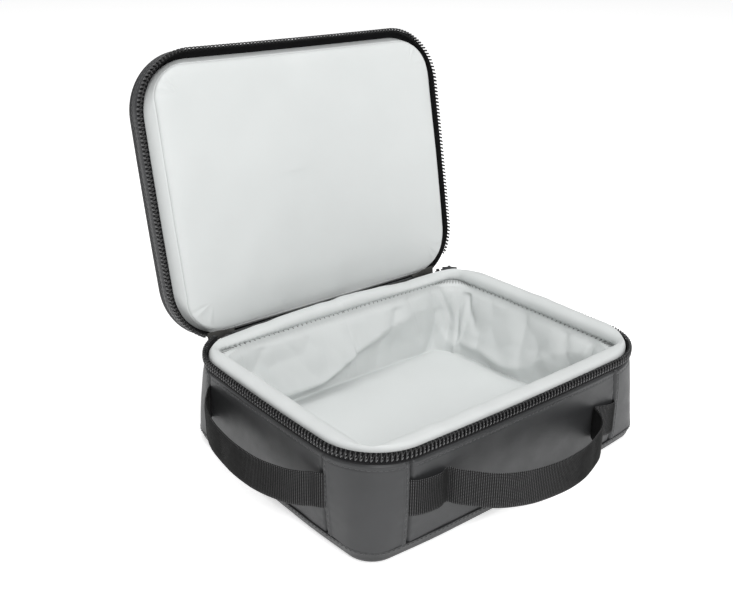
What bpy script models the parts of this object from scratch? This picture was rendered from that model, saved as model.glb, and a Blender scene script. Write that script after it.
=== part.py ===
"""Zippered safe bag for lithium-polymer packs, with its lid open.

A padded box with rounded corners. The origin is at the middle of its flat bottom, X runs
along the hinge, the hinge is on the +Y side and +Z is up. The lid is modelled closed under
an empty on the hinge line, and the empty's rotation opens it.
"""
import bmesh
import bpy
from math import cos, hypot, pi, radians, sin

MM = 0.001

# Outer outline of the fabric shell at the wall's top and above, in millimetres.
WIDTH = 238.0
DEPTH = 184.0
CORNER_RADIUS = 39.0

# Outline at the floor, where the corners are tighter.
BASE_HALF_X = 117.2
BASE_HALF_Y = 92.0
BASE_RADIUS = 18.0
LEAST_RADIUS = 3.0

# Length of outline between the points of a rounded corner, in degrees of its arc.
ARC_STEP = 5.0

# Heights, in millimetres.
TRAY_TOP = 8.0
TRAY_EDGE_RADIUS = 5.0
WALL_TOP = 58.5
PARTING = 66.0
RIM_TOP = 67.5
LID_TOP = 84.0

# Thicknesses.
GAP = 0.3
FABRIC = 1.2
LINING = 1.0
WALL_FOAM_TOP = 10.5
WALL_FOAM_BOTTOM = 16.5
COIL_HEIGHT = 4.85
COIL_PROUD = 1.0
TAPE_HEIGHT = 1.9

# Seams between the panels: degrees into a corner's arc.
FRONT_LEFT_PATCH = (4.0, 79.0)
BACK_PATCH_SIDE = 7.4
BACK_PATCH_BACK = 17.9
FRONT_RIGHT_SEAM = 1.0

# Hinge and lid.
HINGE_Y = 89.0
HINGE_Z = 62.2
LID_OPEN_ANGLE = 101.3
HINGE_HALF_LENGTH = 75.0

# Zipper, in degrees from the back along a back corner's arc.
CHAIN_END = 29.0
STOP_START = 25.0
STOP_END = 28.4
SLIDER_ANGLE = 40.0
LID_COIL_START = 52.0

# Webbing.
WEB_WIDTH = 22.0
WEB_THICKNESS = 1.5
WEB_LIFT = 7.0
LOOP_END_GAP = 1.2

SHELL = (0.085, 0.087, 0.09)
LINING_GREY = (0.68, 0.70, 0.69)
FOAM_GREY = (0.35, 0.35, 0.36)
BLACK = (0.018, 0.018, 0.019)
WEBBING = (0.026, 0.026, 0.027)
METAL = (0.03, 0.03, 0.032)

STRAIGHT_X = WIDTH / 2 - CORNER_RADIUS
STRAIGHT_Y = DEPTH / 2 - CORNER_RADIUS
CORNER_ARC = CORNER_RADIUS * pi / 2
LEGS = (2 * STRAIGHT_X, 2 * STRAIGHT_Y, 2 * STRAIGHT_X, 2 * STRAIGHT_Y)
PERIMETER = sum(LEGS) + 4 * CORNER_ARC
BACK_LEFT, FRONT_LEFT, FRONT_RIGHT, BACK_RIGHT = range(4)
CORNER_SIGNS = ((-1, 1), (-1, -1), (1, -1), (1, 1))
CORNER_CENTRES = (
    (-STRAIGHT_X, STRAIGHT_Y),
    (-STRAIGHT_X, -STRAIGHT_Y),
    (STRAIGHT_X, -STRAIGHT_Y),
    (STRAIGHT_X, STRAIGHT_Y),
)


# ---------------------------------------------------------------- outline

def corner_station(corner, angle):
    """Distance along the outline to a place some degrees into a corner's arc."""
    before = sum(LEGS[:corner + 1]) + corner * CORNER_ARC
    return before - STRAIGHT_X + CORNER_RADIUS * radians(angle)


def ring_point(station, inset, half_x, half_y, corner_radius):
    """Point on one rounded rectangle, moved inwards, at a station of the shell's outline."""
    rest = station % PERIMETER
    corner = 0
    while rest > (LEGS[corner] + LEGS[(corner + 1) % 4]) / 2 + CORNER_ARC:
        rest -= (LEGS[corner] + LEGS[(corner + 1) % 4]) / 2 + CORNER_ARC
        corner += 1
    from_middle = rest - LEGS[corner] / 2 - CORNER_ARC / 2
    ahead = LEGS[(corner + 1) % 4] if from_middle > 0 else LEGS[corner]
    along_x = ahead == LEGS[0]
    half = half_x if along_x else half_y
    run = from_middle * (corner_radius * pi / 4 + half - corner_radius) / (CORNER_ARC / 2 + ahead / 2)
    radius = max(corner_radius - inset, LEAST_RADIUS)
    centre_x = half_x - inset - radius
    centre_y = half_y - inset - radius
    sign_x, sign_y = CORNER_SIGNS[corner]
    bend = corner_radius * pi / 4
    turn = pi / 4 + pi / 2 * (corner + 1)
    if abs(run) <= bend:
        turn += run / corner_radius
        return sign_x * centre_x + radius * cos(turn), sign_y * centre_y + radius * sin(turn)
    share = 1 - (abs(run) - bend) / (half - corner_radius)
    if along_x:
        return sign_x * centre_x * share, sign_y * (centre_y + radius)
    return sign_x * (centre_x + radius), sign_y * centre_y * share


def outline_point(station, inset, height):
    """Point on the shell at a height. Station 0 is mid-back; stations run towards -X.

    The corners are tight at the floor and open out to CORNER_RADIUS at the wall's top.
    """
    share = min(height / WALL_TOP, 1.0)
    low_x, low_y = ring_point(station, inset, BASE_HALF_X, BASE_HALF_Y, BASE_RADIUS)
    high_x, high_y = ring_point(station, inset, WIDTH / 2, DEPTH / 2, CORNER_RADIUS)
    return low_x + (high_x - low_x) * share, low_y + (high_y - low_y) * share


def stations_between(start, end):
    """Stations from start to end, with every corner's arc cut into short steps."""
    steps = round(90 / ARC_STEP)
    marks = []
    for lap in (-PERIMETER, 0.0, PERIMETER):
        for corner in range(4):
            for step in range(steps + 1):
                marks.append(lap + corner_station(corner, step * ARC_STEP))
    inner = [mark for mark in sorted(marks) if start + 0.2 < mark < end - 0.2]
    return [start] + inner + [end]


# ---------------------------------------------------------------- objects

def paint(obj, colour, roughness, metallic=0.0):
    """Give an object its own Principled material."""
    material = bpy.data.materials.new(obj.name)
    material.use_nodes = True
    shader = material.node_tree.nodes["Principled BSDF"]
    shader.inputs["Base Color"].default_value = (*colour, 1.0)
    shader.inputs["Roughness"].default_value = roughness
    shader.inputs["Metallic"].default_value = metallic
    obj.data.materials.append(material)


def make_object(name, points, faces, parent=None, smooth=True):
    """Make a mesh object from points in millimetres, with its faces turned outwards."""
    mesh = bpy.data.meshes.new(name)
    mesh.from_pydata([[value * MM for value in point] for point in points], [], faces)
    shape = bmesh.new()
    shape.from_mesh(mesh)
    bmesh.ops.recalc_face_normals(shape, faces=shape.faces)
    shape.to_mesh(mesh)
    shape.free()
    if smooth:
        mesh.shade_smooth()
        mesh.set_sharp_from_angle(angle=radians(40))
    obj = bpy.data.objects.new(name, mesh)
    bpy.context.scene.collection.objects.link(obj)
    if parent is not None:
        obj.parent = parent
        obj.matrix_parent_inverse.identity()
        offset = [value / MM for value in parent["pivot"]]
        for vertex, point in zip(mesh.vertices, points):
            vertex.co = [(value - shift) * MM for value, shift in zip(point, offset)]
    return obj


def pivot(name, place, parent=None):
    """An empty on a joint's axis, at a place in millimetres."""
    empty = bpy.data.objects.new(name, None)
    bpy.context.scene.collection.objects.link(empty)
    here = [value * MM for value in place]
    empty["pivot"] = here
    if parent is None:
        empty.location = here
    else:
        empty.parent = parent
        empty.location = [a - b for a, b in zip(here, parent["pivot"])]
    return empty


def sweep(name, profile, start=None, end=None, parent=None):
    """Sweep a closed profile of (inset, height) points along the outline.

    Every face is split the same way, low to high, so that the twisted faces of one wall's
    layers stay parallel.
    """
    closed = start is None
    if closed:
        marks = stations_between(-STRAIGHT_X, PERIMETER - STRAIGHT_X)[:-1]
    else:
        marks = stations_between(start, end)
    points = []
    for mark in marks:
        for inset, height in profile:
            points.append((*outline_point(mark, inset, height), height))
    count = len(profile)
    faces = []
    spans = len(marks) if closed else len(marks) - 1
    for span in range(spans):
        here = span * count
        there = (span + 1) % len(marks) * count
        for side in range(count):
            after = (side + 1) % count
            a, b, c, d = here + side, here + after, there + after, there + side
            rises = profile[side][1] < profile[after][1]
            faces += [(a, b, c), (a, c, d)] if rises else [(a, b, d), (b, c, d)]
    if not closed:
        faces.append(tuple(range(count)))
        faces.append(tuple(range(len(points) - count, len(points))))
    return make_object(name, points, faces, parent)


def loft(name, profile, parent=None):
    """Stack outlines at (inset, height) and close the first and last with flat faces."""
    marks = stations_between(-STRAIGHT_X, PERIMETER - STRAIGHT_X)[:-1]
    points = []
    for inset, height in profile:
        for mark in marks:
            points.append((*outline_point(mark, inset, height), height))
    count = len(marks)
    faces = [tuple(range(count)), tuple(range(len(points) - count, len(points)))]
    for layer in range(len(profile) - 1):
        for place in range(count):
            after = (place + 1) % count
            low = layer * count
            faces.append((low + place, low + after, low + count + after, low + count + place))
    return make_object(name, points, faces, parent)


def band(outer, inner, bottom, top):
    """Rectangular sweep profile."""
    return ((outer, bottom), (outer, top), (inner, top), (inner, bottom))


def extrude_plate(name, rim, hole, low, high, place, parent):
    """Plate cut to a rim, with an optional hole, in a turned frame.

    rim and hole are lists of (along, up); low and high bound it outwards; place turns
    (along, outwards, up) into a point.
    """
    loops = [rim] if hole is None else [rim, hole]
    points = []
    for out in (low, high):
        for loop in loops:
            for along, up in loop:
                points.append(place(along, out, up))
    count = len(rim)
    total = count * len(loops)
    faces = []
    for number in range(len(loops)):
        for side in range(count):
            first = number * count + side
            after = number * count + (side + 1) % count
            faces.append((first, after, total + after, total + first))
    if hole is None:
        faces.append(tuple(range(count)))
        faces.append(tuple(range(total, 2 * total)))
    else:
        for layer in (0, total):
            for side in range(count):
                after = (side + 1) % count
                faces.append((layer + side, layer + after,
                              layer + count + after, layer + count + side))
    return make_object(name, points, faces, parent, smooth=False)


# ---------------------------------------------------------------- base

def build_shell():
    """Bottom tray, four panels and four corner patches."""
    steps = 3
    outer = []
    inner = []
    for step in range(steps + 1):
        angle = pi / 2 * step / steps
        outer.append((TRAY_EDGE_RADIUS * (1 - sin(angle)), TRAY_EDGE_RADIUS * (1 - cos(angle))))
        reach = TRAY_EDGE_RADIUS - FABRIC
        inner.append((TRAY_EDGE_RADIUS - reach * sin(angle), TRAY_EDGE_RADIUS - reach * cos(angle)))
    profile = outer + [(0.0, TRAY_TOP), (FABRIC, TRAY_TOP)] + inner[::-1]
    paint(loft("bottom_panel", profile), SHELL, 0.5)

    seams = (
        ("corner_back_left", corner_station(BACK_LEFT, BACK_PATCH_BACK)),
        ("left_panel", corner_station(BACK_LEFT, 90 - BACK_PATCH_SIDE)),
        ("corner_front_left", corner_station(FRONT_LEFT, FRONT_LEFT_PATCH[0])),
        ("front_panel", corner_station(FRONT_LEFT, FRONT_LEFT_PATCH[1])),
        ("corner_front_right", corner_station(FRONT_RIGHT, 0) - FRONT_RIGHT_SEAM),
        ("right_panel", corner_station(FRONT_RIGHT, 90 - FRONT_LEFT_PATCH[0])),
        ("corner_back_right", corner_station(BACK_RIGHT, BACK_PATCH_SIDE)),
        ("back_panel", corner_station(BACK_RIGHT, 90 - BACK_PATCH_BACK)),
    )
    wall = band(0.0, FABRIC, TRAY_TOP + GAP, WALL_TOP)
    for number, (name, start) in enumerate(seams):
        if number + 1 < len(seams):
            end = seams[number + 1][1]
        else:
            end = seams[0][1] + PERIMETER
        paint(sweep(name, wall, start + GAP / 2, end - GAP / 2), SHELL, 0.5)


def build_padding():
    """Foam and inner cloth of the four walls, the floor and the rim."""
    foam_outer = FABRIC + GAP
    foam_low = TRAY_TOP - 1.7
    foam_high = WALL_TOP - 0.8
    top = foam_outer + WALL_FOAM_TOP
    bottom = foam_outer + WALL_FOAM_BOTTOM
    foam = ((foam_outer, foam_low), (foam_outer, foam_high), (top, foam_high), (bottom, foam_low))
    cloth = (
        (top + GAP, foam_high),
        (top + GAP + LINING, foam_high),
        (bottom + GAP + LINING, foam_low),
        (bottom + GAP, foam_low),
    )
    sides = (
        ("left", BACK_LEFT, FRONT_LEFT),
        ("front", FRONT_LEFT, FRONT_RIGHT),
        ("right", FRONT_RIGHT, BACK_RIGHT),
        ("back", BACK_RIGHT, BACK_LEFT),
    )
    for side, first, last in sides:
        start = corner_station(first, 45) + GAP / 2
        end = corner_station(last, 45) - GAP / 2
        if end < start:
            end += PERIMETER
        paint(sweep("foam_" + side, foam, start, end), FOAM_GREY, 0.9)
        paint(sweep("lining_" + side, cloth, start, end), LINING_GREY, 0.6)

    foam_inset = TRAY_EDGE_RADIUS + 0.5
    floor_foam = ((foam_inset, FABRIC + GAP), (foam_inset, foam_low - GAP))
    paint(loft("foam_bottom", floor_foam), FOAM_GREY, 0.9)

    pad_inset = bottom + GAP + LINING + 1.2
    pad = (
        (pad_inset + 0.6, foam_low),
        (pad_inset, foam_low + 0.6),
        (pad_inset, foam_low + 1.5),
        (pad_inset + 0.6, foam_low + 2.1),
    )
    paint(loft("floor_pad", pad), LINING_GREY, 0.6)

    outer = 3.0
    inner = 14.2
    low = WALL_TOP - 0.4
    crown = 3.8
    roll = (
        (outer, low),
        (outer, RIM_TOP - crown),
        (outer + 1.2, RIM_TOP - 1.3),
        (outer + crown, RIM_TOP),
        (inner - crown, RIM_TOP),
        (inner - 1.2, RIM_TOP - 1.3),
        (inner, RIM_TOP - crown),
        (inner, low + 2.9),
        (inner - 1.6, low),
    )
    paint(sweep("rim_roll", roll), LINING_GREY, 0.6)


def coil_profile(low, high):
    """Section of one row of zipper coil, proud of the shell, with its edges rounded off."""
    outer = -COIL_PROUD
    inner = COIL_PROUD
    ease = 0.6
    return (
        (outer, low + ease),
        (outer, high - ease),
        (outer + ease, high),
        (inner, high),
        (inner, low),
        (outer + ease, low),
    )


def build_zipper_base():
    """Tape, coil and sewn end stops on the base."""
    start = corner_station(BACK_LEFT, CHAIN_END)
    end = corner_station(BACK_RIGHT, 90 - CHAIN_END)
    low = WALL_TOP + GAP
    tape = band(0.2, 1.0, low, low + TAPE_HEIGHT)
    paint(sweep("zipper_tape_base", tape, start, end), BLACK, 0.7)
    coil_low = PARTING - GAP / 2 - COIL_HEIGHT
    coil_high = PARTING - GAP / 2
    paint(sweep("zipper_coil_base", coil_profile(coil_low, coil_high), start, end), BLACK, 0.4)
    stop = band(-COIL_PROUD, COIL_PROUD, low, coil_high)
    left = (corner_station(BACK_LEFT, STOP_START), corner_station(BACK_LEFT, STOP_END))
    right = (corner_station(BACK_RIGHT, 90 - STOP_END), corner_station(BACK_RIGHT, 90 - STOP_START))
    paint(sweep("end_stop_left", stop, *left), SHELL, 0.6)
    paint(sweep("end_stop_right", stop, *right), SHELL, 0.6)
    strip = band(FABRIC + 0.1, FABRIC + 0.9, low, low + 1.6)
    half = HINGE_HALF_LENGTH
    paint(sweep("hinge_strip_lower", strip, -half, half), SHELL, 0.6)


# ---------------------------------------------------------------- lid

def build_lid():
    """Everything that turns on the hinge, modelled closed."""
    hinge = pivot("lid_hinge", (0.0, HINGE_Y, HINGE_Z))
    coil_low = PARTING + GAP / 2
    coil_high = coil_low + COIL_HEIGHT
    left = corner_station(BACK_LEFT, CHAIN_END)
    coil = sweep("zipper_coil_lid", coil_profile(coil_low, coil_high),
                 left, corner_station(BACK_RIGHT, 90 - LID_COIL_START), hinge)
    paint(coil, BLACK, 0.4)
    tape_low = coil_high + GAP
    tape_high = tape_low + TAPE_HEIGHT
    tape = band(0.2, 1.0, tape_low, tape_high)
    right = corner_station(BACK_RIGHT, 90 - CHAIN_END)
    paint(sweep("zipper_tape_lid", tape, left, right, hinge), BLACK, 0.7)
    gusset_low = tape_high + GAP
    binding_radius = 1.7
    binding_centre = LID_TOP - binding_radius
    gusset_high = binding_centre - binding_radius - GAP
    paint(sweep("lid_gusset", band(0.0, FABRIC, gusset_low, gusset_high), parent=hinge), SHELL, 0.5)

    sides = 8
    piping = []
    for side in range(sides):
        angle = 2 * pi * side / sides
        across = binding_radius * (1 - cos(angle))
        piping.append((across, binding_centre + binding_radius * sin(angle)))
    paint(sweep("lid_binding", piping, parent=hinge), SHELL, 0.5)

    panel_inset = 2 * binding_radius + GAP
    skin = ((panel_inset, LID_TOP - FABRIC), (panel_inset, LID_TOP - 0.4), (panel_inset + 1.5, LID_TOP))
    paint(loft("lid_panel", skin, hinge), SHELL, 0.5)

    foam_low = gusset_low + 0.5
    foam_inset = FABRIC + GAP
    shoulder = gusset_high
    foam = (
        (foam_inset, foam_low),
        (foam_inset, shoulder - 0.5),
        (panel_inset, shoulder),
        (panel_inset, LID_TOP - FABRIC - GAP),
    )
    paint(loft("lid_foam", foam, hinge), FOAM_GREY, 0.9)

    cloth_high = foam_low - GAP
    cloth_low = PARTING + 6.5
    pad_inset = 15.6
    cloth = (
        (pad_inset + 1.4, PARTING - 1.2),
        (pad_inset, PARTING),
        (pad_inset - 1.0, PARTING + 2.0),
        (pad_inset - 5.0, cloth_low),
        (2.0, cloth_low),
        (2.0, cloth_high),
    )
    paint(loft("lid_lining", cloth, hinge), LINING_GREY, 0.6)

    strip = band(FABRIC + 0.1, FABRIC + 0.9, tape_low - 1.5, cloth_low - GAP)
    half = HINGE_HALF_LENGTH
    paint(sweep("hinge_strip_upper", strip, -half, half, hinge), SHELL, 0.6)
    hinge.rotation_euler.x = -radians(LID_OPEN_ANGLE)


# ---------------------------------------------------------------- handles

def smooth_path(points, steps):
    """Points on a smooth curve through the given ones, even steps between each pair."""
    ends = [points[0]] + list(points) + [points[-1]]
    path = []
    for number in range(len(points) - 1):
        before, here, there, after = ends[number:number + 4]
        for step in range(steps):
            t = step / steps
            path.append(tuple(
                0.5 * (2 * b + (c - a) * t + (2 * a - 5 * b + 4 * c - d) * t ** 2
                       + (3 * b - a - 3 * c + d) * t ** 3)
                for a, b, c, d in zip(before, here, there, after)))
    path.append(tuple(points[-1]))
    return path


def webbing(name, path, parent=None):
    """Flat strap, its width upright, along a path of (x, y, z) centres."""
    points = []
    for number, (x, y, z) in enumerate(path):
        before = path[max(number - 1, 0)]
        after = path[min(number + 1, len(path) - 1)]
        run_x = after[0] - before[0]
        run_y = after[1] - before[1]
        length = hypot(run_x, run_y)
        side_x = run_y / length * WEB_THICKNESS / 2
        side_y = -run_x / length * WEB_THICKNESS / 2
        for sign, half in ((1, 1), (1, -1), (-1, -1), (-1, 1)):
            points.append((x + sign * side_x, y + sign * side_y, z + half * WEB_WIDTH / 2))
    faces = [(0, 1, 2, 3)]
    for number in range(len(path) - 1):
        low = 4 * number
        for side in range(4):
            after = (side + 1) % 4
            faces.append((low + side, low + after, low + 4 + after, low + 4 + side))
    last = 4 * (len(path) - 1)
    faces.append((last, last + 1, last + 2, last + 3))
    return make_object(name, points, faces, parent)


def split_handle(path, lift):
    """Cut a strap's path into a sewn end, a loop and a sewn end, where it leaves the face."""
    out = [number for number, point in enumerate(path) if lift(point) > WEB_LIFT]
    first, last = out[0], out[-1]
    return path[:first + 1], path[first:last + 1], path[last:]


def trim(path, start, end):
    """Draw a path's two ends in by a small distance each."""
    result = list(path)
    for distance, here, there in ((start, 0, 1), (end, -1, -2)):
        a, b = result[here], result[there]
        length = sum((q - p) ** 2 for p, q in zip(a, b)) ** 0.5
        result[here] = tuple(p + (q - p) * distance / length for p, q in zip(a, b))
    return result


def build_handles():
    """Two webbing handles: the sewn ends stay on the base, the loops swing."""
    face = WEB_THICKNESS / 2 + GAP
    front_y = -DEPTH / 2 - face
    left_x = -WIDTH / 2 - face
    front_route = (
        (-90.0, front_y, 37.0), (-79.0, front_y - 0.9, 36.9), (-67.5, front_y, 36.6),
        (-63.5, front_y - 2.2, 36.5), (-56.8, -104.5, 36.4), (-47.0, -115.0, 36.2),
        (-33.0, -122.3, 36.0), (-14.0, -126.3, 35.6), (6.0, -126.0, 35.0),
        (24.0, -121.5, 34.0), (41.0, -114.0, 32.5), (55.0, -105.0, 31.0),
        (61.5, front_y - 5.0, 29.5), (66.5, front_y - 0.9, 28.4), (79.0, front_y, 25.8),
    )
    left_route = (
        (left_x + 0.4, -62.0, 36.0), (left_x - 2.0, -56.5, 36.0), (-126.5, -51.0, 36.0),
        (-132.5, -41.0, 36.0), (-137.5, -27.0, 36.0), (-140.0, -9.0, 36.2),
        (-139.3, 12.0, 36.6), (-135.5, 32.0, 37.3), (-129.0, 45.5, 38.0),
        (left_x - 3.2, 52.5, 38.6), (left_x, 58.0, 39.0),
    )
    handles = (
        ("front", front_route, lambda point: front_y - point[1], ("left", "right")),
        ("left", left_route, lambda point: left_x - point[0], ("front", "back")),
    )
    for side, route, lift, names in handles:
        path = smooth_path(route, 4)
        first, loop, last = split_handle(path, lift)
        middle = [(a + b) / 2 for a, b in zip(loop[0], loop[-1])]
        hanger = pivot(side + "_handle_pivot", middle)
        first = trim(first, 0.0, LOOP_END_GAP)
        last = trim(last, LOOP_END_GAP, 0.0)
        loop = trim(loop, LOOP_END_GAP, LOOP_END_GAP)
        paint(webbing("handle_%s_end_%s" % (side, names[0]), first), WEBBING, 0.85)
        paint(webbing("handle_%s_end_%s" % (side, names[1]), last), WEBBING, 0.85)
        paint(webbing("handle_%s_loop" % side, loop, hanger), WEBBING, 0.85)


# ---------------------------------------------------------------- slider

def build_slider():
    """Zipper slider at the chain's back right end, and its hanging pull."""
    centre_x, centre_y = CORNER_CENTRES[BACK_RIGHT]
    turn = radians(SLIDER_ANGLE)
    out_x, out_y = sin(turn), cos(turn)

    def place(along, out, up):
        return (
            centre_x + out * out_x + along * out_y,
            centre_y + out * out_y - along * out_x,
            up,
        )

    track = pivot("slider_track", (centre_x, centre_y, PARTING))
    half = 5.5
    low = 60.2
    high = 67.3
    post_low = PARTING + GAP / 2
    inner = (36.4, 37.3)
    outer = (40.3, 41.4)
    section = (
        (inner[0], low), (inner[1], low), (inner[1], post_low), (outer[0], post_low),
        (outer[0], low), (outer[1], low), (outer[1], high), (inner[0], high),
    )
    points = []
    for along in (-half, half):
        for out, up in section:
            points.append(place(along, out, up))
    count = len(section)
    faces = [tuple(range(count)), tuple(range(count, 2 * count))]
    for side in range(count):
        after = (side + 1) % count
        faces.append((side, after, count + after, count + side))
    body = make_object("slider_body", points, faces, track, smooth=False)
    paint(body, METAL, 0.35, 1.0)

    pull_height = 63.7
    arch_half = 1.0
    leg_out = 3.0
    leg_in = 1.9
    arch = (
        (outer[1] - 0.3, -leg_out), (44.6, -leg_out), (44.6, leg_out), (outer[1] - 0.3, leg_out),
        (outer[1] - 0.3, leg_in), (43.6, leg_in), (43.6, -leg_in), (outer[1] - 0.3, -leg_in),
    )
    points = []
    for along in (-arch_half, arch_half):
        for out, up in arch:
            points.append(place(along, out, pull_height + up))
    count = len(arch)
    faces = [tuple(range(count)), tuple(range(count, 2 * count))]
    for side in range(count):
        after = (side + 1) % count
        faces.append((side, after, count + after, count + side))
    bail = make_object("slider_bail_cutter", points, faces, track, smooth=False)
    bail.hide_render = True
    bail.display_type = "WIRE"
    union = body.modifiers.new("bail", "BOOLEAN")
    union.operation = "UNION"
    union.solver = "EXACT"
    union.object = bail

    swing_out = 42.65
    swing = pivot("pull_hinge", place(0.0, swing_out, pull_height), track)
    rim = ((-3.3, 0.6), (3.3, 0.6), (3.5, -21.0), (-3.5, -21.0))
    hole = ((-2.0, -0.6), (2.0, -0.6), (2.0, -5.0), (-2.0, -5.0))
    rim = [(along, pull_height + up) for along, up in rim]
    hole = [(along, pull_height + up) for along, up in hole]
    tab = extrude_plate("slider_pull", rim, hole, swing_out - 0.55, swing_out + 0.55, place, swing)
    paint(tab, METAL, 0.35, 1.0)


def main():
    for obj in list(bpy.data.objects):
        bpy.data.objects.remove(obj)
    build_shell()
    build_padding()
    build_zipper_base()
    build_lid()
    build_handles()
    build_slider()


main()
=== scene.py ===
from math import cos, pi, radians, sin, tau

import bmesh
import bpy
import numpy as np
from mathutils import Matrix, Vector


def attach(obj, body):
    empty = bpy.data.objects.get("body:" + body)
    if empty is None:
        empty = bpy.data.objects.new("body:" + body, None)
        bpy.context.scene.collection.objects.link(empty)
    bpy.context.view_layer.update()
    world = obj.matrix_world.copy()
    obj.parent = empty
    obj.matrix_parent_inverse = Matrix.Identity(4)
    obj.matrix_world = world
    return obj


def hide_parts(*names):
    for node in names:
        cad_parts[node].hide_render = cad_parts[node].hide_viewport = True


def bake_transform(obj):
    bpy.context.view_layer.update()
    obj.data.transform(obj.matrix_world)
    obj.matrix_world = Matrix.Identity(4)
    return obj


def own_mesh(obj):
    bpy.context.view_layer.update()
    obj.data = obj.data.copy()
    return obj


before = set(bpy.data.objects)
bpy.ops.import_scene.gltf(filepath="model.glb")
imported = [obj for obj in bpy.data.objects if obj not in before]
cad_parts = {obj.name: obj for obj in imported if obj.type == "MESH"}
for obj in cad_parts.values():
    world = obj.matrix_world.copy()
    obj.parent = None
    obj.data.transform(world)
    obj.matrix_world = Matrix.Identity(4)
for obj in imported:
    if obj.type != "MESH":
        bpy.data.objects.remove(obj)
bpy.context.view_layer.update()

MM = 0.001

# Outline of the shell at the wall's top and above, in millimetres, as in the CAD.
WIDTH = 238.0
DEPTH = 184.0
CORNER_RADIUS = 39.0

# Outline at the floor, where the corners are tighter.
BASE_HALF_X = 117.2
BASE_HALF_Y = 92.0
BASE_RADIUS = 18.0
LEAST_RADIUS = 3.0

CORNER_ARC = CORNER_RADIUS * pi / 2
STRAIGHT_X = WIDTH / 2 - CORNER_RADIUS
STRAIGHT_Y = DEPTH / 2 - CORNER_RADIUS
PERIMETER = 4 * (STRAIGHT_X + STRAIGHT_Y + CORNER_ARC)
QUARTER = PERIMETER / 4
MID_BACK, MID_LEFT, MID_FRONT, MID_RIGHT = 0.0, QUARTER, 2 * QUARTER, 3 * QUARTER
BACK_LEFT, FRONT_LEFT, FRONT_RIGHT, BACK_RIGHT = range(4)
CORNER_SIGNS = np.array(((-1, 1), (-1, -1), (1, -1), (1, 1)))

# How far the padded sides bow out, for the back, left, front and right.
WALL_BOW = (0.8, 0.8, 1.4, 0.8)
LID_BOW = (0.0, 0.3, -0.3, 0.3)

# How much smaller the corner radius of the rim's roll and of the lid's pad is than the shell's.
ROLL_TIGHT = 16.0
PAD_TIGHT = 11.0
TIGHT_FROM, TIGHT_TO = 3.0, 13.0

TRAY_TOP = 8.0
WALL_TOP = 58.5
PARTING = 66.0
COIL_HEIGHT = 5.5
HINGE_Y = 89.0
HINGE_Z = 62.2
OPEN_ANGLE = radians(101.3)
CHAIN_END = 29.0
LID_CHAIN_END = 52.0
COIL_PITCH = 2.63
GATHER_PITCH = 3.4
ROLL_FOOT = 57.7
INNERMOST = 86.0
WEB_WIDTH = 22.0
RIB_PITCH = 1.15

# Thickness of each cloth.
SHELL_CLOTH = 1.3
LINING_CLOTH = 0.8
HINGE_CLOTH = 0.8
FLAP_CLOTH = 0.7


# -------- outline

def in_corner(corner, angle):
    """Distance along the outline to a place some degrees into a corner's arc."""
    leg = STRAIGHT_X if corner % 2 == 0 else STRAIGHT_Y
    return corner * QUARTER + leg + CORNER_RADIUS * radians(angle)


def ring(station, inset, half_x, half_y, corner_radius, bow):
    """Points on a rounded rectangle moved inwards, and the outward directions there.

    Stations are distances along the rim's outline, from the middle of the back towards -X.
    """
    station = np.mod(station, PERIMETER)
    corner = np.minimum(station // QUARTER, 3).astype(int)
    even = corner % 2 == 0
    from_middle = station - corner * QUARTER - np.where(even, STRAIGHT_X, STRAIGHT_Y) - CORNER_ARC / 2
    along_x = (from_middle > 0) != even
    half = np.where(along_x, half_x, half_y)
    leg = np.where(along_x, STRAIGHT_X, STRAIGHT_Y)
    bend = corner_radius * pi / 4
    run = from_middle * (bend + half - corner_radius) / (CORNER_ARC / 2 + leg)
    turn = pi / 4 + pi / 2 * (corner + 1) + np.clip(run, -bend, bend) / corner_radius
    beyond = np.maximum(np.abs(run) - bend, 0) / (half - corner_radius)
    radius = np.maximum(corner_radius - inset, LEAST_RADIUS)
    sign = CORNER_SIGNS[corner]
    side = np.where(from_middle > 0, corner + 1, corner) % 4
    out = np.asarray(bow)[side] * beyond * (2 - beyond)
    x = sign[..., 0] * (half_x - inset - radius) * np.where(along_x, 1 - beyond, 1)
    y = sign[..., 1] * (half_y - inset - radius) * np.where(along_x, 1, 1 - beyond)
    return x + (radius + out) * np.cos(turn), y + (radius + out) * np.sin(turn), np.cos(turn), np.sin(turn)


def ease(value, low, high):
    """0 below low, 1 above high, and smooth between."""
    share = np.clip((value - low) / (high - low), 0, 1)
    return share * share * (3 - 2 * share)


def outline(station, inset, height, low_radius=BASE_RADIUS, tight=0.0, bow=WALL_BOW):
    """Points (x, y) on the shell at a height, and outward directions.

    tight is how much smaller the corners' radius grows between two distances inwards.
    """
    share = np.clip(np.asarray(height) / WALL_TOP, 0, 1)
    high_radius = CORNER_RADIUS - tight * ease(np.asarray(inset), TIGHT_FROM, TIGHT_TO)
    low = ring(station, inset, BASE_HALF_X, BASE_HALF_Y, low_radius, bow)
    high = ring(station, inset, WIDTH / 2, DEPTH / 2, high_radius, bow)
    x, y, nx, ny = [a + (b - a) * share for a, b in zip(low, high)]
    size = np.hypot(nx, ny)
    return x, y, nx / size, ny / size


def hump(value, centre, width, power=2):
    """1 at a centre, falling smoothly to 0 on both sides."""
    return np.exp(-(np.abs(value - centre) / width) ** power)


def unit(vectors):
    """The same directions, each of length one."""
    return vectors / np.linalg.norm(vectors, axis=-1)[..., None]


def join(*parts):
    """Arrays joined as the last axis of one."""
    return np.stack(np.broadcast_arrays(*parts), axis=-1)


def circle(sides):
    """Cosines and sines of even steps round a circle."""
    angle = np.arange(sides) * tau / sides
    return np.cos(angle), np.sin(angle)


def steps(start, end, size):
    """Even stations from start to end, about size apart."""
    return np.linspace(start, end, max(2, round((end - start) / size) + 1))


def round_lap(size):
    """Stations of one whole lap, about size apart, without the last."""
    return steps(0, PERIMETER, size)[:-1]


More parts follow.
